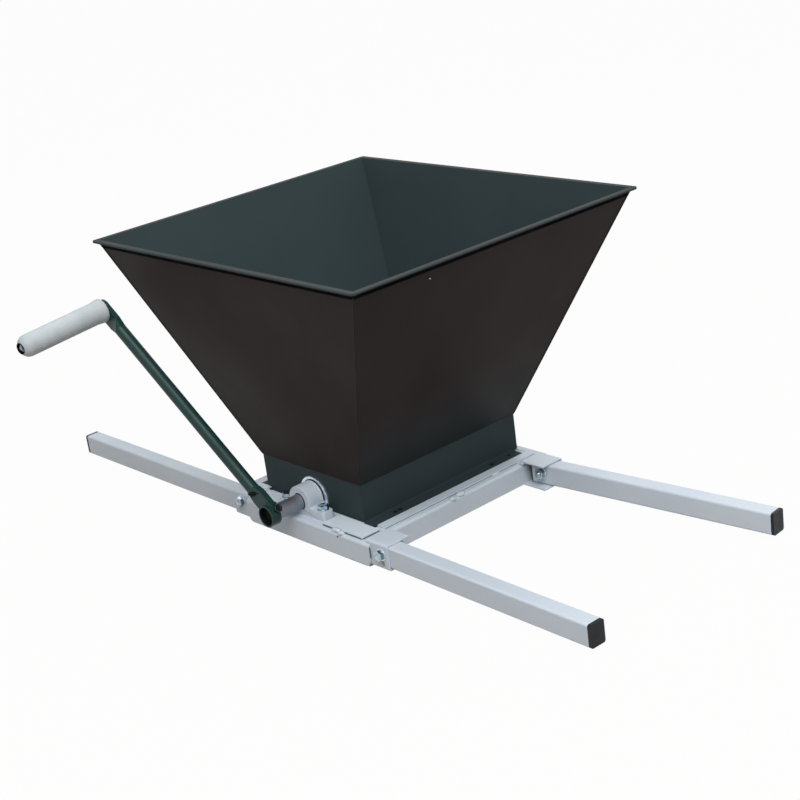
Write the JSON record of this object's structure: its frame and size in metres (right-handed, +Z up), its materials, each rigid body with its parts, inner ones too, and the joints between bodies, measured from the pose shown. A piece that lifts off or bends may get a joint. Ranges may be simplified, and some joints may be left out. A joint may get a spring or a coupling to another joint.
{
  "type": "grape crusher",
  "caption": "Hand-cranked grape crusher: square sheet hopper over geared fluted rollers, on a folded frame with carrying arms.",
  "frame": {"origin": "centre of the throat's outline, level with the bottoms of the rails", "axes": "+X along the carrying arms, -Y the crank's side, +Z up"},
  "size_m": [1.052, 0.6364, 0.399],
  "materials": {
    "frame_paint": "satin light grey paint",
    "hopper_paint": "semi-gloss dark grey-green paint",
    "cap_plastic": "black moulded",
    "bronze": "plain turned",
    "roller_alloy": "extruded, satin",
    "crank_paint": "satin dark green paint",
    "black_steel": "blackened",
    "grip_plastic": "light grey, fine texture",
    "bright_steel": "zinc plated"
  },
  "bodies": {
    "frame": {"near_rail": "frame_paint", "far_rail": "frame_paint", "left_crossbar": "frame_paint", "right_crossbar": "frame_paint", "near_left_plate": "frame_paint", "near_right_plate": "frame_paint", "left_strip": "frame_paint", "right_strip": "frame_paint", "bracket_near_left": "frame_paint", "bracket_near_right": "frame_paint", "bracket_far_left": "frame_paint", "bracket_far_right": "frame_paint", "arm_near_left": "frame_paint", "arm_near_right": "frame_paint", "arm_far_left": "frame_paint", "arm_far_right": "frame_paint", "cap_near_left": "cap_plastic", "cap_near_right": "cap_plastic", "cap_far_left": "cap_plastic", "cap_far_right": "cap_plastic", "arm_bolt_near_left": "bright_steel", "arm_bolt_near_right": "bright_steel", "arm_bolt_far_left": "bright_steel", "arm_bolt_far_right": "bright_steel", "arm_nut_near_left": "bright_steel", "arm_nut_near_right": "bright_steel", "arm_nut_far_left": "bright_steel", "arm_nut_far_right": "bright_steel", "arm_washers": "bright_steel", "near_panel": "hopper_paint", "far_panel": "hopper_paint", "left_panel": "hopper_paint", "right_panel": "hopper_paint", "near_wall": "hopper_paint", "far_wall": "hopper_paint", "left_wall": "hopper_paint", "right_wall": "hopper_paint", "flange_screws": "black_steel", "slot_plate": "bright_steel", "bearing_housing": "frame_paint", "bearing_bush": "bronze", "housing_bolt_left": "bright_steel", "housing_bolt_right": "bright_steel", "far_drive_bush": "bronze", "far_idler_bush": "bronze", "near_idler_bush": "bronze", "left_guide": "bright_steel", "right_guide": "bright_steel"},
    "drive": {"drive_shaft": "bright_steel", "driven_roller": "roller_alloy", "drive_gear": "bright_steel", "crank_boss": "crank_paint", "crank_arm": "crank_paint", "crank_set_bolt": "black_steel", "grip_spindle": "bright_steel"},
    "idler": {"idler_shaft": "bright_steel", "idler_roller": "roller_alloy", "idler_gear": "bright_steel"},
    "grip": {"grip": "grip_plastic"}
  },
  "joints": [
    {"name": "crank_turn", "type": "hinge", "parent": "frame", "child": "drive", "pos_m": [0.004, 0, 0.052], "axis": [0, -1, 0], "continuous": true},
    {"name": "idler_turn", "type": "hinge", "parent": "frame", "child": "idler", "pos_m": [-0.059, 0, 0.052], "axis": [0, -1, 0], "continuous": true},
    {"name": "grip_turn", "type": "hinge", "parent": "drive", "child": "grip", "pos_m": [-0.25712, -0.25314, 0.30682], "axis": [0.0773, -0.9942, -0.0754], "continuous": true}
  ],
  "couplings": [
    {"joint": "idler_turn", "follows": "crank_turn", "ratio": -1}
  ]
}
